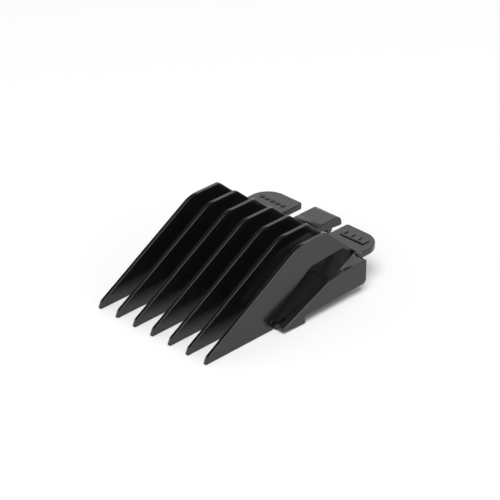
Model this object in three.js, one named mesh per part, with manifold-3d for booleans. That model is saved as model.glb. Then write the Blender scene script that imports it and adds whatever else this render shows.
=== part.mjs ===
// Clipper guard comb: a moulded plastic guide that clips over a hair clipper's blade and holds it off the scalp.
// Millimetres. +X runs across the teeth, +Y from the tooth tips to the thumb tabs, +Z away from the blade.
// z = 0 is the plane of the tooth tips and the front feet; x = 0 is the plane of symmetry. The pieces are drawn
// with y measured from the tooth tips, and the whole comb is then moved so that y = 0 is the middle of its length.
import * as THREE from "three";
import { mergeVertices } from "three/addons/utils/BufferGeometryUtils.js";
import Module from "manifold-3d";

const wasm = await Module();
wasm.setup();

// ---------- driving dimensions ----------
const MIDDLE_OF_LENGTH = 36.16;
const TOOTH_COUNT = 7;
const TOOTH_PITCH = 7.0;
const TOOTH_THICKNESS = 1.1;
const TOOTH_TOP = 22.3; // height of the flat that rides on the skin
const BLADE_WIDTH = 46.8; // standard clipper blade that the rails grip
const BLADE_CLEARANCE = 0.1; // on each side of the blade

const RAIL_THICKNESS = 2.1;
const RAIL_INSIDE = BLADE_WIDTH / 2 + BLADE_CLEARANCE;
const RAIL_OUTSIDE = RAIL_INSIDE + RAIL_THICKNESS;
const RAIL_REAR = 59.8;
const RAIL_BOTTOM = 2.2; // at the foot; the underside rises a little towards the rear
const RAIL_BOTTOM_REAR = 2.7;

const DECK_TOP = 10.2; // flat part of the blade cover
const DECK_THICKNESS = 1.6;
const DECK_BEND = 46.2; // where the flat part turns down into the ramp
const DECK_REAR = 54.0; // where the cover starts to rise to the rear bar
const RAMP_FRONT = 27.4;
const RAIL_TOP_FRONT = { y: 27.6, z: 2.3 }; // where the rail's top edge starts
const RAMP_SLOPE = (DECK_TOP - RAIL_TOP_FRONT.z) / (DECK_BEND - RAIL_TOP_FRONT.y);

const RAMP_EDGE = 1.2; // thickness of the ramp's front edge
const TOE_REAR = 26.0; // where the underside of a tooth ends
const RELIEF = { x: 22.9, width: 1.2, front: 27.8, rear: 29.1 };

const BAR_TOP = 11.4;
const BAR_FRONT = 58.2; // front of the bar's flat top
const BAR_REAR = 60.4;
const BAR_BOTTOM = 8.4;

const TAB_THICKNESS = 2.0;
const TAB_INSIDE = 8.9;
const TAB_OUTSIDE = 23.2;
const TAB_REAR = 69.85;
const TAB_OUTER_RADIUS = 6.4;
const TAB_INNER_RADIUS = 0.8;

const LATCH_HALF_WIDTH = 4.65;
const LATCH_TOP = 11.7;
const LATCH_THICKNESS = 2.2;
const LATCH_FRONT = BAR_REAR + 0.3; // the flexing root is drawn as a 0.3 mm gap
const LATCH_REAR = 72.2;
const LATCH_LIP_DEPTH = 3.2; // how far the rounded rear lip reaches down
const LATCH_LIP_LENGTH = 2.8;
const LATCH_LIP_RADIUS = 2.4;
const CATCH_DEPTH = 3.4; // below the underside of the tongue
const CATCH_LENGTH = 1.8;

const FOOT_FRONT = 27.0;
const FOOT_REAR = 34.8;
const FOOT_TOE_HEIGHT = 0.8; // the sole rises towards the front
const HOOK_INSIDE = 22.1;
const HOOK_FRONT = 26.2;
const HOOK_TOP = 1.9;
const HOOK_FLANGE = 0.9;

const PIP_COUNT = 5;
const PIP_PITCH = 2.1;
const PIP_SIZE = 1.6;
const MARK_HEIGHT = 0.3;

const black = () => new THREE.MeshStandardMaterial({ color: 0x17171a, roughness: 0.32, metalness: 0 });

// ---------- helpers ----------
const YZ_TO_WORLD = new THREE.Matrix4().makeBasis(
  new THREE.Vector3(0, 1, 0),
  new THREE.Vector3(0, 0, 1),
  new THREE.Vector3(1, 0, 0),
);

// A closed outline from corners [u, v, corner radius]; a radius rounds its corner with a tangent arc.
function outline(corners) {
  const shape = new THREE.Shape();
  const count = corners.length;
  corners.forEach(([u, v, radius = 0], i) => {
    const corner = new THREE.Vector2(u, v);
    const before = new THREE.Vector2(...corners[(i + count - 1) % count].slice(0, 2)).sub(corner).normalize();
    const after = new THREE.Vector2(...corners[(i + 1) % count].slice(0, 2)).sub(corner).normalize();
    const half = Math.acos(THREE.MathUtils.clamp(before.dot(after), -1, 1)) / 2;
    const start = corner.clone().addScaledVector(before, radius / Math.tan(half));
    const end = corner.clone().addScaledVector(after, radius / Math.tan(half));
    if (i === 0) shape.moveTo(start.x, start.y);
    else shape.lineTo(start.x, start.y);
    if (radius > 0) {
      const inward = before.clone().add(after).normalize();
      const centre = corner.clone().addScaledVector(inward, radius / Math.sin(half));
      const startAngle = start.clone().sub(centre).angle();
      const endAngle = end.clone().sub(centre).angle();
      shape.absarc(centre.x, centre.y, radius, startAngle, endAngle, before.cross(after) > 0);
    }
  });
  shape.closePath();
  return shape;
}

// A side profile in (y, z), extruded along +X by width.
function sideExtrusion(corners, width, curveSegments = 6) {
  const geometry = new THREE.ExtrudeGeometry(outline(corners), { depth: width, bevelEnabled: false, curveSegments });
  return geometry.applyMatrix4(YZ_TO_WORLD);
}

// A plan profile in (x, y), extruded along +Z by height.
function planExtrusion(corners, height, curveSegments = 6) {
  return new THREE.ExtrudeGeometry(outline(corners), { depth: height, bevelEnabled: false, curveSegments });
}

function box(x0, x1, y0, y1, z0, z1) {
  const geometry = new THREE.BoxGeometry(x1 - x0, y1 - y0, z1 - z0);
  return geometry.translate((x0 + x1) / 2, (y0 + y1) / 2, (z0 + z1) / 2);
}

function toManifold(geometry) {
  const bare = geometry.clone();
  bare.deleteAttribute("normal");
  bare.deleteAttribute("uv");
  const merged = mergeVertices(bare, 1e-4);
  return new wasm.Manifold(new wasm.Mesh({
    numProp: 3,
    vertProperties: Float32Array.from(merged.attributes.position.array),
    triVerts: Uint32Array.from(merged.index.array),
  }));
}

function fromManifold(solid) {
  const mesh = solid.getMesh();
  const geometry = new THREE.BufferGeometry();
  geometry.setAttribute("position", new THREE.BufferAttribute(Float32Array.from(mesh.vertProperties), 3));
  geometry.setIndex(new THREE.BufferAttribute(Uint32Array.from(mesh.triVerts), 1));
  return geometry;
}

const joined = (pieces) => fromManifold(pieces.map(toManifold).reduce((sum, next) => sum.add(next)));
const cut = (body, tools) => fromManifold(tools.map(toManifold).reduce((rest, tool) => rest.subtract(tool), toManifold(body)));

function named(name, geometry, x = 0, y = 0, z = 0) {
  const mesh = new THREE.Mesh(geometry, black());
  mesh.name = name;
  mesh.position.set(x, y, z);
  return mesh;
}

const toothCentre = (index) => (index - (TOOTH_COUNT - 1) / 2) * TOOTH_PITCH;
const rampHeight = (y) => RAIL_TOP_FRONT.z + (y - RAIL_TOP_FRONT.y) * RAMP_SLOPE;

// ---------- teeth ----------
// Tip, long front slope, skin flat, back edge down to the rear bar, and the arch that clears the blade cover.
function toothGeometry() {
  const profile = [
    [0.0, 0.0, 0.25],
    [TOE_REAR, 0.0],
    [TOE_REAR, 1.4],
    [24.9, 2.9, 0.5],
    [41.0, 13.9, 2.5],
    [53.8, 14.7, 1.0],
    [58.6, BAR_TOP],
    [59.7, BAR_TOP],
    [47.3, TOOTH_TOP, 1.2],
    [35.6, TOOTH_TOP, 8.0],
    [0.9, 2.3, 0.5],
  ];
  return sideExtrusion(profile, TOOTH_THICKNESS).translate(-TOOTH_THICKNESS / 2, 0, 0);
}

function teeth() {
  const group = new THREE.Group();
  for (let i = 0; i < TOOTH_COUNT; i += 1) {
    group.add(named(`tooth_${i + 1}`, toothGeometry(), toothCentre(i)));
  }
  return group;
}

// ---------- blade cover ----------
function deckFlat() {
  const halfWidth = RAIL_INSIDE;
  return box(-halfWidth, halfWidth, DECK_BEND, DECK_REAR, DECK_TOP - DECK_THICKNESS, DECK_TOP);
}

// The ramp follows the blade's bevelled front. A short prong under each tooth joins the tooth's toe to it,
// and a relief hole beside each outer tooth clears the blade's corner.
function deckRamp() {
  const plate = sideExtrusion([
    [RAMP_FRONT, rampHeight(RAMP_FRONT) - RAMP_EDGE],
    [DECK_BEND, DECK_TOP - DECK_THICKNESS],
    [DECK_BEND, DECK_TOP],
    [RAMP_FRONT, rampHeight(RAMP_FRONT)],
  ], 2 * RAIL_INSIDE).translate(-RAIL_INSIDE, 0, 0);
  const prongs = [];
  for (let i = 0; i < TOOTH_COUNT; i += 1) {
    const prong = sideExtrusion([
      [TOE_REAR, 0.5],
      [RAMP_FRONT + 0.4, 1.0],
      [RAMP_FRONT + 0.4, rampHeight(RAMP_FRONT)],
      [TOE_REAR, 1.4],
    ], TOOTH_THICKNESS);
    prongs.push(prong.translate(toothCentre(i) - TOOTH_THICKNESS / 2, 0, 0));
  }
  const reliefs = [-1, 1].map((side) => box(
    side * RELIEF.x - RELIEF.width / 2,
    side * RELIEF.x + RELIEF.width / 2,
    RELIEF.front,
    RELIEF.rear,
    0,
    rampHeight(RELIEF.rear) + 1,
  ));
  return cut(joined([plate, ...prongs]), reliefs);
}

function rearBar() {
  return sideExtrusion([
    [DECK_REAR, DECK_TOP - DECK_THICKNESS],
    [BAR_FRONT, BAR_BOTTOM],
    [BAR_REAR, BAR_BOTTOM],
    [BAR_REAR, BAR_TOP],
    [BAR_FRONT, BAR_TOP],
    [DECK_REAR, DECK_TOP],
  ], 2 * RAIL_INSIDE).translate(-RAIL_INSIDE, 0, 0);
}

// ---------- rails and feet ----------
function railGeometry() {
  return sideExtrusion([
    [RAIL_TOP_FRONT.y, RAIL_BOTTOM],
    [RAIL_REAR, RAIL_BOTTOM_REAR, 1.4],
    [RAIL_REAR, DECK_TOP],
    [DECK_BEND, DECK_TOP, 3.0],
  ], RAIL_THICKNESS);
}

// Outer wall under the rail, with a flange that runs under the blade's front corner and a lip in front of it
// that joins the outer tooth's toe.
function footGeometry() {
  const wall = sideExtrusion([
    [FOOT_FRONT, FOOT_TOE_HEIGHT],
    [FOOT_REAR, 0],
    [FOOT_REAR, RAIL_BOTTOM],
    [RAIL_TOP_FRONT.y, RAIL_BOTTOM],
    [FOOT_FRONT, HOOK_TOP],
  ], RAIL_THICKNESS).translate(RAIL_INSIDE, 0, 0);
  const flangeDepth = RAIL_INSIDE - HOOK_INSIDE;
  const flange = sideExtrusion([
    [RAMP_FRONT, FOOT_TOE_HEIGHT],
    [FOOT_REAR, 0],
    [FOOT_REAR, HOOK_FLANGE],
    [RAMP_FRONT, FOOT_TOE_HEIGHT + 0.15],
  ], flangeDepth).translate(HOOK_INSIDE, 0, 0);
  const lip = planExtrusion([
    [HOOK_INSIDE, HOOK_FRONT],
    [RAIL_INSIDE, FOOT_FRONT - 0.2],
    [RAIL_INSIDE, RAMP_FRONT],
    [HOOK_INSIDE, RAMP_FRONT],
  ], HOOK_TOP - FOOT_TOE_HEIGHT).translate(0, 0, FOOT_TOE_HEIGHT);
  return joined([wall, flange, lip]);
}

// ---------- tabs and their size marks ----------
function tabGeometry() {
  return planExtrusion([
    [TAB_INSIDE, BAR_REAR],
    [TAB_OUTSIDE, BAR_REAR],
    [TAB_OUTSIDE, TAB_REAR, TAB_OUTER_RADIUS],
    [TAB_INSIDE, TAB_REAR, TAB_INNER_RADIUS],
  ], TAB_THICKNESS, 10).translate(0, 0, BAR_TOP - TAB_THICKNESS);
}

function mirrored(geometry) {
  const copy = geometry.index ? geometry.toNonIndexed() : geometry.clone();
  const position = copy.attributes.position;
  for (let i = 0; i < position.count; i += 3) {
    for (let k = 0; k < 3; k += 1) position.setX(i + k, -position.getX(i + k));
    const first = new THREE.Vector3().fromBufferAttribute(position, i);
    const last = new THREE.Vector3().fromBufferAttribute(position, i + 2);
    position.setXYZ(i, last.x, last.y, last.z);
    position.setXYZ(i + 2, first.x, first.y, first.z);
  }
  copy.deleteAttribute("normal");
  copy.deleteAttribute("uv");
  return copy;
}

// Size marks in plain shapes: five raised pips on one tab, a ruler-like bar with four ticks on the other.
const MARK_ROW_Y = 64.6;
const TAB_CENTRE = (TAB_INSIDE + TAB_OUTSIDE) / 2;

function sizePips() {
  const group = new THREE.Group();
  for (let i = 0; i < PIP_COUNT; i += 1) {
    const pip = new THREE.CylinderGeometry(PIP_SIZE / 2, PIP_SIZE / 2, MARK_HEIGHT, 16).rotateX(Math.PI / 2);
    const x = -TAB_CENTRE + (i - (PIP_COUNT - 1) / 2) * PIP_PITCH;
    group.add(named(`size_pip_${i + 1}`, pip, x, MARK_ROW_Y, BAR_TOP + MARK_HEIGHT / 2));
  }
  return group;
}

function lengthScale() {
  const halfLength = 4.4;
  const lineWidth = 0.7;
  const tickLength = 2.6;
  const tickCount = 4;
  const bars = [box(-halfLength, halfLength, -lineWidth / 2, lineWidth / 2, 0, MARK_HEIGHT)];
  for (let i = 0; i < tickCount; i += 1) {
    const x = (i / (tickCount - 1) - 0.5) * (2 * halfLength - lineWidth);
    bars.push(box(x - lineWidth / 2, x + lineWidth / 2, 0, tickLength, 0, MARK_HEIGHT));
  }
  return joined(bars);
}

// ---------- latch ----------
function latchTongue() {
  const bottom = LATCH_TOP - LATCH_THICKNESS;
  return box(-LATCH_HALF_WIDTH, LATCH_HALF_WIDTH, LATCH_FRONT, LATCH_REAR - LATCH_LIP_LENGTH, bottom, LATCH_TOP);
}

function latchLip() {
  const front = LATCH_REAR - LATCH_LIP_LENGTH;
  return sideExtrusion([
    [front, LATCH_TOP - LATCH_LIP_DEPTH],
    [LATCH_REAR, LATCH_TOP - LATCH_LIP_DEPTH, 0.4],
    [LATCH_REAR, LATCH_TOP, LATCH_LIP_RADIUS],
    [front, LATCH_TOP],
  ], 2 * LATCH_HALF_WIDTH).translate(-LATCH_HALF_WIDTH, 0, 0);
}

// The wedge under the tongue that snaps behind the blade's rear edge.
function latchCatch() {
  const top = LATCH_TOP - LATCH_THICKNESS;
  const rear = LATCH_REAR - LATCH_LIP_LENGTH;
  const front = rear - CATCH_LENGTH;
  const halfWidth = LATCH_HALF_WIDTH - 1.2;
  return sideExtrusion([
    [front, top],
    [front - 0.5, top - CATCH_DEPTH * 0.6],
    [front + 0.6, top - CATCH_DEPTH],
    [rear, top - CATCH_DEPTH * 0.6],
    [rear, top],
  ], 2 * halfWidth).translate(-halfWidth, 0, 0);
}

// ---------- assembly ----------
const group = new THREE.Group();
group.add(teeth());
group.add(named("deck_flat", deckFlat()));
group.add(named("deck_ramp", deckRamp()));
group.add(named("rear_bar", rearBar()));
group.add(named("rail_right", railGeometry(), RAIL_INSIDE));
group.add(named("rail_left", railGeometry(), -RAIL_OUTSIDE));
group.add(named("foot_right", footGeometry()));
group.add(named("foot_left", mirrored(footGeometry())));
group.add(named("tab_right", tabGeometry()));
group.add(named("tab_left", mirrored(tabGeometry())));
group.add(sizePips());
group.add(named("length_scale", lengthScale(), TAB_CENTRE, MARK_ROW_Y - 0.6, BAR_TOP));
group.add(named("latch_tongue", latchTongue()));
group.add(named("latch_lip", latchLip()));
group.add(named("latch_catch", latchCatch()));

group.position.y = -MIDDLE_OF_LENGTH;

export default group;
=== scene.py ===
import math

import bmesh
import bpy
from mathutils import Matrix, Vector


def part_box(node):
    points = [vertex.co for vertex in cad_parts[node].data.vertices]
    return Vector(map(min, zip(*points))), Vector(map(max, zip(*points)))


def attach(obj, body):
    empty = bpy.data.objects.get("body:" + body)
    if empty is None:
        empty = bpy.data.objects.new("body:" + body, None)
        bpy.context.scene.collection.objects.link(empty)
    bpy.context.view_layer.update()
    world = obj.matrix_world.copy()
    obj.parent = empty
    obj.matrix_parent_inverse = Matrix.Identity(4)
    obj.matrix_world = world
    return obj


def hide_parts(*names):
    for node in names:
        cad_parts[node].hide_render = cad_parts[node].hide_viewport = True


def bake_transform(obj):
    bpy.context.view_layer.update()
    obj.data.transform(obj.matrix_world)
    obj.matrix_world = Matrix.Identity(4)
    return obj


# Clipper guard comb: seven thin fins on a blade cover with side rails, two thumb tabs and a sprung latch, all
# moulded in black plastic. The frame is in metres: +X runs across the fins, +Y from the fin tips to the thumb
# tabs and +Z away from the clipper blade. Each piece is modelled in millimetres with y measured from the fin
# tips, as a drawing would give it, and put_in_frame then brings it to its place and size.
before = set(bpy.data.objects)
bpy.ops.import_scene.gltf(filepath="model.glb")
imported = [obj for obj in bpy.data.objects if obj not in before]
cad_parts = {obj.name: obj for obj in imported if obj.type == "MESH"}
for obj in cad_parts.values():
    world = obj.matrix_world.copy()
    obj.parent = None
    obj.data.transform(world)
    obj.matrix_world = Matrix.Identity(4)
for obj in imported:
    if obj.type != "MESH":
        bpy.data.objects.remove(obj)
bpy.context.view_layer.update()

MM = 0.001
BAR_REAR = 60.4  # from the fin tips to the back of the rear bar
TIP_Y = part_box("rear_bar")[1].y - BAR_REAR * MM


def drawn(node):
    """The lowest and highest corner of a node in the drawing's millimetres."""
    return [Vector((corner.x, corner.y - TIP_Y, corner.z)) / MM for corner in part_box(node)]


fin_low, fin_high = drawn("tooth_4")
deck_low = drawn("deck_flat")[0]
bar_low, bar_high = drawn("rear_bar")
rail_low, rail_high = drawn("rail_right")
foot_low, foot_high = drawn("foot_right")
tab_low, tab_high = drawn("tab_right")
tongue_low, tongue_high = drawn("latch_tongue")
lip_low, lip_high = drawn("latch_lip")
catch_low, catch_high = drawn("latch_catch")

SOFT_EDGE = 0.16  # radius of a moulded edge
EDGE_SEGMENTS = 3
BEND_Y, BEND_Z = 45.2, 9.76  # where the cover and the rails turn from their ramps to the deck
BROAD = 0.5  # a face at least this wide is shaded flat
ROOT = 0.4  # how deep a piece is rooted in its neighbour


# ---------- modelling steps ----------
def start_sheet(name, low, high):
    """A flat rectangle in edit mode, lying across whichever axis low and high agree on."""
    size = Vector(high) - Vector(low)
    upright = size.x == 0
    turn = (0, math.radians(90), 0) if upright else (0, 0, 0)
    centre = (Vector(high) + Vector(low)) / 2
    bpy.ops.object.select_all(action="DESELECT")
    bpy.ops.mesh.primitive_plane_add(size=1, location=centre, rotation=turn)
    sheet = bpy.context.object
    sheet.name = sheet.data.name = name
    sheet.scale = (size.z, size.y, 1) if upright else (size.x, size.y, 1)
    bpy.ops.object.transform_apply(location=True, rotation=True, scale=True)
    bpy.ops.object.mode_set(mode="EDIT")
    bpy.ops.mesh.select_all(action="SELECT")
    return sheet


def cut_line(a, b, drop=True):
    """Cuts everything along the line a to b in the y-z plane, and drops what lies to its left."""
    left = Vector((0, a[1] - b[1], b[0] - a[0])).normalized()
    bpy.ops.mesh.select_all(action="SELECT")
    bpy.ops.mesh.bisect(plane_co=(0, a[0], a[1]), plane_no=left, clear_outer=drop, threshold=1e-5)


def cut_across(axis, value):
    """Cuts everything at x, y or z equal to value."""
    normal = [float(axis == name) for name in "xyz"]
    point = [value * n for n in normal]
    bpy.ops.mesh.select_all(action="SELECT")
    bpy.ops.mesh.bisect(plane_co=point, plane_no=normal, threshold=1e-5)


def pick(kind, wanted):
    """Selects the vertices, edges or faces that wanted(element) says."""
    mesh = bmesh.from_edit_mesh(bpy.context.object.data)
    bpy.ops.mesh.select_mode(type=kind)
    bpy.ops.mesh.select_all(action="DESELECT")
    for element in {"VERT": mesh.verts, "EDGE": mesh.edges, "FACE": mesh.faces}[kind]:
        if wanted(element):
            element.select_set(True)
    mesh.select_flush_mode()
    bmesh.update_edit_mesh(bpy.context.object.data)


def middle(element):
    return sum((v.co for v in element.verts), Vector()) / len(element.verts)


def runs_along(edge, axis):
    step = edge.verts[1].co - edge.verts[0].co
    return abs(step["xyz".index(axis)]) > 0.99 * step.length


def join_flat_faces():
    bpy.ops.mesh.select_all(action="SELECT")
    bpy.ops.mesh.dissolve_limited(angle_limit=math.radians(0.1))


def round_corner(point, reach, segments=6, plane="yz"):
    """Rounds the outline's corner at a point; the curve starts reach away from it on both sides."""
    a, b = ("xyz".index(name) for name in plane)
    pick("VERT", lambda v: (Vector((v.co[a], v.co[b])) - Vector(point)).length < 0.02)
    bpy.ops.mesh.bevel(offset=reach, segments=segments, affect="VERTICES")


def thicken(offset):
    """Gives a sheet its thickness."""
    bpy.ops.mesh.select_mode(type="FACE")
    bpy.ops.mesh.select_all(action="SELECT")
    bpy.ops.mesh.extrude_region_move(TRANSFORM_OT_translate={"value": offset})
    bpy.ops.mesh.select_all(action="SELECT")
    bpy.ops.mesh.normals_make_consistent(inside=False)


def bevel_edges(wanted, width=SOFT_EDGE, segments=EDGE_SEGMENTS):
    pick("EDGE", wanted)
    bpy.ops.mesh.bevel(offset=width, segments=segments, affect="EDGES", clamp_overlap=True)


def leave_edit(piece):
    bpy.ops.object.mode_set(mode="OBJECT")
    bpy.ops.object.select_all(action="DESELECT")
    bpy.context.view_layer.objects.active = piece
    piece.select_set(True)


def apply_modifier(piece, kind, **settings):
    modifier = piece.modifiers.new(kind.lower(), kind)
    for setting, value in settings.items():
        setattr(modifier, setting, value)
    bpy.ops.object.modifier_apply(modifier=modifier.name)


def soften(piece, width=SOFT_EDGE, segments=EDGE_SEGMENTS, angle=35):
    """Rounds every sharp edge."""
    apply_modifier(piece, "BEVEL", width=width, segments=segments, limit_method="ANGLE",
                   angle_limit=math.radians(angle))


def put_in_frame(piece, angle=40):
    """Shades the piece, broad faces flat and narrow ones smooth, and brings it from the drawing to the frame."""
    bpy.ops.object.shade_smooth_by_angle(angle=math.radians(angle))
    corners = piece.data.vertices
    for face in piece.data.polygons:
        around = sum((corners[a].co - corners[b].co).length for a, b in face.edge_keys)
        if 2 * face.area / around > BROAD:
            face.use_smooth = False
    piece.scale = (MM, MM, MM)
    piece.location = (0, TIP_Y, 0)
    bpy.ops.object.transform_apply(location=True, rotation=True, scale=True)
    return piece


def copy_piece(piece, name, offset):
    twin = piece.copy()
    twin.data = piece.data.copy()
    twin.name = twin.data.name = name
    twin.data.transform(Matrix.Translation(Vector(offset) * MM))
    bpy.context.scene.collection.objects.link(twin)
    return twin


# ---------- fins ----------
def below(spot, a, b):
    """True if the y-z place of spot lies to the right of the line from a to b."""
    return (b[0] - a[0]) * (spot.z - a[1]) < (b[1] - a[1]) * (spot.y - a[0])


def make_fin(name):
    """The middle fin: long front slope, skin flat, back edge, and the arch that clears the blade cover."""
    top = fin_high.z
    root_height = bar_high.z - ROOT
    tip, tip_top, bend, peak, back_foot = (0, 0), (0.9, 2.1), (35.95, top), (47.3, top), (59.7, bar_high.z)
    arch = [(24.9, 2.9), (41.0, 13.9), (53.8, 14.7), (58.6, bar_high.z)]
    toe_bottom, toe_back = (26.0, 0.0), (26.0, 1.4)
    prong = [(26.0, 0.5), (27.8, 1.0), (27.8, 2.0), toe_back]
    fin = start_sheet(name, (fin_low.x, 0, 0), (fin_low.x, fin_high.y + 1, top))
    for a, b in [(tip, tip_top), (tip_top, bend), (peak, back_foot)]:
        cut_line(a, b)
    lines = [*zip(arch, arch[1:]), (toe_back, arch[0]), (toe_bottom, toe_back), *zip(prong, prong[1:])]
    for a, b in lines:
        cut_line(a, b, drop=False)
    cut_across("z", root_height)

    def cut_away(face):
        spot = middle(face)
        in_prong = not any(below(spot, a, b) for a, b in zip(prong, prong[1:] + prong[:1]))
        in_arch = all(below(spot, a, b) for a, b in zip(arch, arch[1:])) and spot.y > arch[0][0]
        behind_toe = below(spot, toe_back, arch[0]) if spot.z > toe_back[1] else spot.y > toe_back[0]
        below_root = spot.z < root_height and spot.y > arch[2][0]
        return (in_arch and behind_toe and not in_prong) or below_root

    pick("FACE", cut_away)
    bpy.ops.mesh.delete(type="FACE")
    join_flat_faces()
    for corner, reach in [(bend, 2.1), (peak, 0.6), (tip_top, 0.3), (tip, 0.22)]:
        round_corner(corner, reach)
    for corner, reach in zip(arch, (0.4, 0.8, 0.5)):
        round_corner(corner, reach)
    thicken((fin_high.x - fin_low.x, 0, 0))
    leave_edit(fin)
    soften(fin, 0.24, 4)
    return put_in_frame(fin)


# ---------- blade cover ----------
def at(value, target):
    return abs(value - target) < 0.01


def lift(wanted, height):
    pick("VERT", wanted)
    bpy.ops.transform.translate(value=(0, 0, height))


def make_cover():
    """The plate over the blade: a ramp over its bevelled front, a level floor under the deck panel, and the
    bar that joins the fins."""
    half = rail_low.x
    front, deck_rear, bar_front, bar_rear = 27.4, 57.6, 58.5, bar_high.y
    top, bottom = BEND_Z, deck_low.z
    front_top, front_edge = 2.22, 1.2
    cover = start_sheet("blade_cover", (-half, front, top), (half, bar_rear, top))
    for y in (BEND_Y, deck_low.y, deck_rear, bar_front):
        cut_across("y", y)
    for x in (tab_low.x, tab_high.x, tongue_high.x):
        cut_across("x", x)
        cut_across("x", -x)
    thicken((0, 0, bottom - top))
    lift(lambda v: at(v.co.y, front) and at(v.co.z, top), front_top - top)
    lift(lambda v: at(v.co.y, front) and at(v.co.z, bottom), front_top - front_edge - bottom)
    lift(lambda v: at(v.co.y, BEND_Y) and at(v.co.z, bottom), -0.42)
    lift(lambda v: v.co.y > bar_front - 0.1 and at(v.co.z, top), bar_high.z - top)
    lift(lambda v: v.co.y > bar_front - 0.1 and at(v.co.z, bottom), bar_low.z - bottom)

    def crease(y, level):
        return lambda edge: runs_along(edge, "x") and at(middle(edge).y, y) and abs(middle(edge).z - level) < 0.6

    bevel_edges(crease(BEND_Y, top), 0.5, 4)
    bevel_edges(crease(deck_low.y, bottom), 0.8, 5)
    bevel_edges(crease(deck_rear, top), 0.3, 4)
    bevel_edges(crease(bar_front, bar_high.z), 0.3, 4)
    bevel_edges(crease(front, front_top), 0.3)
    bevel_edges(crease(front, front_top - front_edge), 0.4)
    bevel_edges(crease(bar_rear, bar_low.z), 0.5)

    def bare_rear_edge(edge):
        spot = middle(edge)
        free = abs(spot.x) < tab_low.x or abs(spot.x) > tab_high.x
        return runs_along(edge, "x") and at(spot.y, bar_rear) and at(spot.z, bar_high.z) and free

    bevel_edges(bare_rear_edge, 0.25)
    leave_edit(cover)
    return cover


def make_deck_panel():
    """The middle of the deck: it rises from the ramp to the rear bar, and its sides lean out to the rails."""
    front, rear = (BEND_Y, BEND_Z), (58.7, 11.38)
    front_half, rear_half = 25.4, 21.7
    base, sheet_top, rear_base_rise = 9.6, 9.7, 0.55
    panel = start_sheet("deck_panel", (-front_half, front[0], base), (front_half, rear[0], base))
    thicken((0, 0, sheet_top - base))
    lift(lambda v: at(v.co.z, sheet_top) and at(v.co.y, front[0]), front[1] - sheet_top)
    lift(lambda v: at(v.co.z, sheet_top) and at(v.co.y, rear[0]), rear[1] - sheet_top)
    for side in (-1, 1):
        pick("VERT", lambda v: at(v.co.y, rear[0]) and at(v.co.x, side * front_half) and v.co.z > sheet_top)
        bpy.ops.transform.translate(value=(side * (rear_half - front_half), 0, 0))
    lift(lambda v: at(v.co.z, base) and at(v.co.y, rear[0]), rear_base_rise)
    leave_edit(panel)
    return panel


def cut_relief(cover):
    """Opens the small hole that clears each front corner of the blade."""
    for side in (-1, 1):
        low, high = sorted([side * 22.3, side * (rail_low.x + ROOT)])
        tool = start_sheet("relief_tool", (low, 27.9, 0), (high, 29.1, 0))
        for x in (low, high):
            for y in (27.9, 29.1):
                round_corner((x, y), 0.3, 4, "xy")
        thicken((0, 0, 6))
        leave_edit(tool)
        leave_edit(cover)
        apply_modifier(cover, "BOOLEAN", operation="DIFFERENCE", solver="EXACT", object=tool)
        bpy.data.objects.remove(tool)


# ---------- rails, feet and hooks ----------
def make_rail(name):
    """The side wall that grips the blade, with the foot that the comb stands on below its front end."""
    low, high = Vector((rail_low.x, foot_low.y, 0)), rail_high
    ramp_foot, bend, knee = (27.6, 2.3), (BEND_Y, BEND_Z), (49.4, rail_high.z)
    nose_bottom = (foot_low.y, 0.8)
    heel, heel_top, rear_bottom = (foot_high.y, 0), (foot_high.y, 2.3), (rail_high.y, 2.7)
    rail = start_sheet(name, (low.x, foot_low.y - 1, 0), (low.x, high.y, high.z))
    cut_line((foot_low.y, 0), (foot_low.y, 1))
    cut_line(ramp_foot, bend)
    cut_line(bend, knee)
    cut_line(heel, nose_bottom)
    cut_line(heel, heel_top, drop=False)
    cut_line(heel_top, rear_bottom, drop=False)

    def under_rail(face):
        return middle(face).y > heel[0] and below(middle(face), heel_top, rear_bottom)

    pick("FACE", under_rail)
    bpy.ops.mesh.delete(type="FACE")
    join_flat_faces()
    round_corner((rail_high.y, 2.7), 1.4, 8)
    round_corner(bend, 1.0)
    round_corner(knee, 1.0)
    round_corner(heel, 0.25, 4)
    round_corner(heel_top, 0.3, 4)
    round_corner(nose_bottom, 0.2, 4)
    round_corner((rail_high.y, rail_high.z), 0.3, 4)
    thicken((rail_high.x - rail_low.x, 0, 0))

    def outer_rim(edge):
        return all(at(v.co.x, rail_high.x) for v in edge.verts)

    def inner_rim(edge):
        spot = middle(edge)
        low_or_rear = below(spot, (0, 2.0), (60, 2.9)) or spot.y > rail_high.y - 0.1
        return all(at(v.co.x, rail_low.x) for v in edge.verts) and low_or_rear and spot.y > foot_high.y

    bevel_edges(outer_rim, 0.25)
    bevel_edges(inner_rim, 0.2)
    leave_edit(rail)
    return rail


def make_hook(name):
    """The flange that runs under the blade's front corner, with the lip that meets the outer fin's toe."""
    inner, outer = 21.4, rail_low.x + 0.1
    front, ramp_front, heel = 26.2, 27.5, foot_high.y
    lip_top, flange_top = 1.9, 0.95
    hook = start_sheet(name, (inner, front, 0), (inner, heel, lip_top))
    cut_line((heel, 0), (foot_low.y, 0.3))
    cut_line((ramp_front, flange_top), (ramp_front, 0), drop=False)
    cut_across("z", flange_top)
    pick("FACE", lambda face: middle(face).y > ramp_front and middle(face).z > flange_top)
    bpy.ops.mesh.delete(type="FACE")
    join_flat_faces()
    round_corner((front, lip_top), 0.3, 4)
    thicken((outer - inner, 0, 0))
    pick("VERT", lambda v: v.co.y < front + 0.4 and at(v.co.x, outer))
    bpy.ops.transform.translate(value=(0, 0.6, 0))
    leave_edit(hook)
    soften(hook, 0.1)
    return hook


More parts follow.
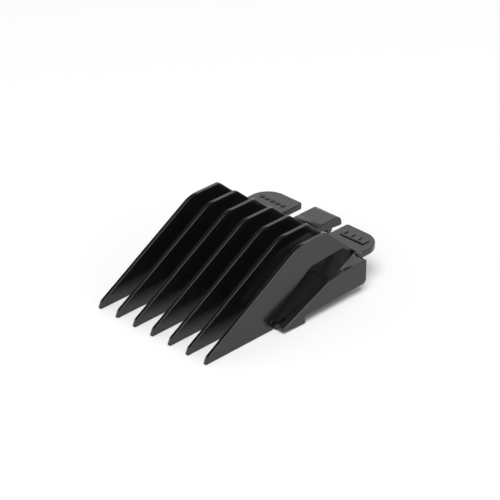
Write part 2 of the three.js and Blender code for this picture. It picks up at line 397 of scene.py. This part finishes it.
def mirror_piece(piece, name):
    """The same piece for the left side."""
    twin = piece.copy()
    twin.data = piece.data.copy()
    twin.name = twin.data.name = name
    twin.data.transform(Matrix.Scale(-1, 4, (1, 0, 0)))
    twin.data.flip_normals()
    bpy.context.scene.collection.objects.link(twin)
    return twin


# ---------- tabs and marks ----------
def make_tab(name):
    """A thumb tab, level with the top of the rear bar."""
    rear = tab_high.y
    tab = start_sheet(name, (tab_low.x, bar_high.y, tab_low.z), (tab_high.x, rear, tab_low.z))
    round_corner((tab_high.x, rear), 6.4, 28, "xy")
    round_corner((tab_low.x, rear), 0.8, 6, "xy")
    thicken((0, 0, tab_high.z - tab_low.z))

    def free_rim(edge):
        on_bar = all(at(v.co.y, bar_high.y) for v in edge.verts)
        return at(edge.verts[0].co.z, edge.verts[1].co.z) and not on_bar

    bevel_edges(free_rim, 0.3, 4)
    leave_edit(tab)
    return tab


def make_pip(name):
    """One raised size pip: a low dome."""
    low, high = drawn("size_pip_1")
    centre = (low + high) / 2
    bpy.ops.object.select_all(action="DESELECT")
    radius, height = (high.x - low.x) / 2, high.z - low.z
    bpy.ops.mesh.primitive_cylinder_add(vertices=32, radius=radius, depth=height, location=centre)
    pip = bpy.context.object
    pip.name = pip.data.name = name
    bpy.ops.object.transform_apply(location=True, rotation=True, scale=True)
    bpy.ops.object.mode_set(mode="EDIT")
    pick("FACE", lambda face: face.normal.z > 0.9)
    bpy.ops.mesh.bevel(offset=0.2, segments=4, affect="EDGES")
    pick("VERT", lambda v: at(v.co.z, low.z))
    bpy.ops.transform.translate(value=(0, 0, -0.1))
    leave_edit(pip)
    return pip


def make_scale():
    """A plain bar with four ticks, like a short ruler."""
    low, high = drawn("length_scale")
    line = 0.7
    ticks = [low.x + line / 2 + i * (high.x - low.x - line) / 3 for i in range(4)]
    scale = start_sheet("length_scale_mark", (low.x, low.y, low.z - 0.1), (high.x, high.y, low.z - 0.1))
    cut_across("y", low.y + line)
    for x in ticks:
        cut_across("x", x - line / 2)
        cut_across("x", x + line / 2)

    def between_ticks(face):
        spot = middle(face)
        return spot.y > low.y + line and not any(abs(spot.x - x) < line / 2 for x in ticks)

    pick("FACE", between_ticks)
    bpy.ops.mesh.delete(type="FACE")
    join_flat_faces()
    thicken((0, 0, high.z - low.z + 0.1))
    leave_edit(scale)
    soften(scale, 0.1, 3, 60)
    return scale


# ---------- latch ----------
def make_latch_arm():
    """The springy tongue: it grows out of the rear bar and thickens towards its rounded lip."""
    root, rear = bar_high.y - ROOT, lip_high.y
    top, bottom, lip_bottom = tongue_high.z, tongue_low.z, lip_low.z
    root_top = bar_high.z - 0.1
    thin, thick = (bar_high.y + 1.5, bottom), (rear - 1.2, lip_bottom)
    arm = start_sheet("latch_arm", (tongue_low.x, root, lip_bottom), (tongue_low.x, rear, top))
    cut_line((root, root_top), (root + 1.6, top))
    cut_across("z", bottom)
    cut_line(thin, thick, drop=False)
    pick("FACE", lambda face: middle(face).z < bottom and below(middle(face), thin, thick))
    bpy.ops.mesh.delete(type="FACE")
    join_flat_faces()
    round_corner((rear, top), 2.4, 10)
    round_corner((rear, lip_bottom), 0.5)
    round_corner((root + 1.6, top), 0.9, 6)
    thicken((tongue_high.x - tongue_low.x, 0, 0))
    leave_edit(arm)
    soften(arm, 0.3, 4)
    bpy.ops.object.mode_set(mode="EDIT")
    for step in range(1, 13):
        cut_across("y", root + 0.3 * step)
    leave_edit(arm)
    return arm


def make_latch_hook():
    """The wedge under the tongue that snaps behind the blade's rear edge."""
    front, rear = catch_low.y, catch_high.y
    tip = (front + 1.1, catch_low.z)
    nose, heel = (front, catch_low.z + 1.36), (rear, catch_low.z + 1.36)
    hook = start_sheet("latch_hook", (catch_low.x, front, catch_low.z), (catch_low.x, rear, catch_high.z + 0.2))
    cut_line(tip, nose)
    cut_line(heel, tip)
    cut_line(nose, (front + 0.5, catch_high.z))
    join_flat_faces()
    round_corner(tip, 0.2, 4)
    thicken((catch_high.x - catch_low.x, 0, 0))
    leave_edit(hook)
    soften(hook, 0.14)
    return hook


# ---------- finishes ----------
def black_plastic(name, shade=0.006, roughness=0.26, grain=0.12):
    """Moulded black plastic: a faint mottle from the flow of the melt, a fine skin texture, and a slight spread
    in roughness.
    """
    material = bpy.data.materials.new(name)
    material.use_nodes = True
    nodes, links = material.node_tree.nodes, material.node_tree.links
    shader = nodes["Principled BSDF"]
    shader.inputs["IOR"].default_value = 1.5
    where = nodes.new("ShaderNodeTexCoord").outputs["Object"]

    def noise(scale, detail):
        node = nodes.new("ShaderNodeTexNoise")
        node.inputs["Scale"].default_value = scale
        node.inputs["Detail"].default_value = detail
        links.new(where, node.inputs["Vector"])
        return node.outputs["Fac"]

    def ramp(value, low, high, first, second):
        node = nodes.new("ShaderNodeMapRange")
        node.inputs["From Min"].default_value = low
        node.inputs["From Max"].default_value = high
        node.inputs["To Min"].default_value = first
        node.inputs["To Max"].default_value = second
        links.new(value, node.inputs["Value"])
        return node.outputs["Result"]

    mottle = noise(90, 3)
    tint = nodes.new("ShaderNodeMix")
    tint.data_type = "RGBA"
    tint.inputs[6].default_value = (shade * 0.8, shade * 0.8, shade * 0.85, 1)
    tint.inputs[7].default_value = (shade * 1.2, shade * 1.22, shade * 1.2, 1)
    links.new(mottle, tint.inputs[0])
    links.new(tint.outputs[2], shader.inputs["Base Color"])
    links.new(ramp(noise(300, 4), 0.3, 0.7, roughness * 0.85, roughness * 1.15), shader.inputs["Roughness"])
    skin = nodes.new("ShaderNodeBump")
    skin.inputs["Strength"].default_value = grain
    skin.inputs["Distance"].default_value = 0.00002
    links.new(noise(3500, 2), skin.inputs["Height"])
    links.new(skin.outputs["Normal"], shader.inputs["Normal"])
    return material


def paint(piece, material):
    piece.data.materials.clear()
    piece.data.materials.append(material)


# ---------- assembly ----------
# Fins and body are the same near-black plastic; the fins' base colour is set a little darker than the body's as
# painted shade for the shaded faces between the fins.
FIN_BLACK_WITH_PAINTED_SHADE = black_plastic("fin_black_painted_shade", shade=0.005, roughness=0.18, grain=0.05)
BODY_BLACK = black_plastic("body_black", roughness=0.21)
LATCH_BLACK = black_plastic("latch_black", roughness=0.21)
MARK_BLACK = black_plastic("mark_black", shade=0.006, roughness=0.35)


def install(piece, body, material, *nodes):
    """Rides the piece on its body, in place of the nodes it stands for."""
    paint(piece, material)
    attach(piece, body)
    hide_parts(*nodes)


def build_fins():
    pattern = make_fin("fin_4")
    fin_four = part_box("tooth_4")[0].x
    for i in range(1, 8):
        fin = pattern
        if i != 4:
            fin = copy_piece(pattern, f"fin_{i}", ((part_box(f"tooth_{i}")[0].x - fin_four) / MM, 0, 0))
        install(fin, "comb", FIN_BLACK_WITH_PAINTED_SHADE, f"tooth_{i}")


def build_both_sides(make, right_name, left_name, material, *node_stems):
    right = make(right_name)
    left = mirror_piece(right, left_name)
    for piece, side in ((right, "right"), (left, "left")):
        leave_edit_mode_and_select(piece)
        put_in_frame(piece)
        install(piece, "comb", material, *[f"{stem}_{side}" for stem in node_stems])


def leave_edit_mode_and_select(piece):
    bpy.ops.object.select_all(action="DESELECT")
    bpy.context.view_layer.objects.active = piece
    piece.select_set(True)


build_fins()
cover = make_cover()
cut_relief(cover)
leave_edit_mode_and_select(cover)
put_in_frame(cover)
install(cover, "comb", BODY_BLACK, "deck_flat", "deck_ramp", "rear_bar")
install(put_in_frame(make_deck_panel()), "comb", BODY_BLACK, "deck_flat")
build_both_sides(make_rail, "side_rail_right", "side_rail_left", BODY_BLACK, "rail", "foot")
build_both_sides(make_hook, "corner_hook_right", "corner_hook_left", BODY_BLACK, "foot")
build_both_sides(make_tab, "thumb_tab_right", "thumb_tab_left", BODY_BLACK, "tab")

pip = put_in_frame(make_pip("raised_pip_1"))
first_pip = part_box("size_pip_1")[0].x
for i in range(1, 6):
    piece = pip
    if i != 1:
        piece = copy_piece(pip, f"raised_pip_{i}", ((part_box(f"size_pip_{i}")[0].x - first_pip) / MM, 0, 0))
    install(piece, "comb", MARK_BLACK, f"size_pip_{i}")
install(put_in_frame(make_scale()), "comb", MARK_BLACK, "length_scale")

arm = put_in_frame(make_latch_arm())
paint(arm, LATCH_BLACK)
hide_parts("latch_tongue", "latch_lip")
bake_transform(arm)
install(put_in_frame(make_latch_hook()), "latch", LATCH_BLACK, "latch_catch")


# ---------- floor, light and camera ----------
def make_floor():
    bpy.ops.object.select_all(action="DESELECT")
    bpy.ops.mesh.primitive_plane_add(size=8)
    floor = bpy.context.object
    floor.name = "floor"
    material = bpy.data.materials.new("pale_floor")
    material.use_nodes = True
    shader = material.node_tree.nodes["Principled BSDF"]
    shader.inputs["Base Color"].default_value = (0.70, 0.70, 0.70, 1)
    shader.inputs["Roughness"].default_value = 0.9
    shader.inputs["Specular IOR Level"].default_value = 0.1
    paint(floor, material)


def add_softbox(name, place, size, watts):
    light = bpy.data.lights.new(name, "AREA")
    light.shape = "DISK"
    light.size = size
    light.energy = watts
    lamp = bpy.data.objects.new(name, light)
    lamp.location = place
    lamp.rotation_euler = (-Vector(place)).to_track_quat("-Z", "Y").to_euler()
    bpy.context.scene.collection.objects.link(lamp)


def make_surroundings(cove, cove_top, ceiling):
    """A white cove all round, up to cove_top degrees above the horizon, and a dark ceiling over it."""
    world = bpy.data.worlds.new("studio")
    world.use_nodes = True
    nodes, links = world.node_tree.nodes, world.node_tree.links
    direction = nodes.new("ShaderNodeTexCoord")
    height = nodes.new("ShaderNodeSeparateXYZ")
    links.new(direction.outputs["Generated"], height.inputs["Vector"])
    fade = nodes.new("ShaderNodeMapRange")
    fade.interpolation_type = "SMOOTHSTEP"
    fade.inputs["From Min"].default_value = math.sin(math.radians(cove_top - 1.5))
    fade.inputs["From Max"].default_value = math.sin(math.radians(cove_top + 1.5))
    fade.inputs["To Min"].default_value = cove
    fade.inputs["To Max"].default_value = ceiling
    links.new(height.outputs["Z"], fade.inputs["Value"])
    nodes["Background"].inputs["Color"].default_value = (1, 1, 1, 1)
    links.new(fade.outputs["Result"], nodes["Background"].inputs["Strength"])
    bpy.context.scene.world = world
    bpy.context.scene.view_settings.view_transform = "Standard"


def aim_camera(azimuth, elevation, distance, target, lens):
    a, e = math.radians(azimuth), math.radians(elevation)
    back = Vector((math.sin(a) * math.cos(e), -math.cos(a) * math.cos(e), math.sin(e)))
    camera = bpy.data.objects.new("camera", bpy.data.cameras.new("camera"))
    camera.data.lens = lens
    camera.data.clip_start, camera.data.clip_end = 0.01, 20
    camera.location = target + back * distance
    camera.rotation_euler = back.to_track_quat("Z", "Y").to_euler()
    bpy.context.scene.collection.objects.link(camera)
    bpy.context.scene.camera = camera


make_floor()
make_surroundings(cove=1.3, cove_top=33, ceiling=0.04)
add_softbox("overhead_softbox", (0.6, -0.5, 1.84), 1.6, 50)
add_softbox("rear_softbox", (-0.45, 1.24, 1.5), 0.9, 4)
aim_camera(44.554, 29.581, 0.7, Vector((-1.993, 40.867, 10.0)) * MM + Vector((0, TIP_Y, 0)), 177.45)
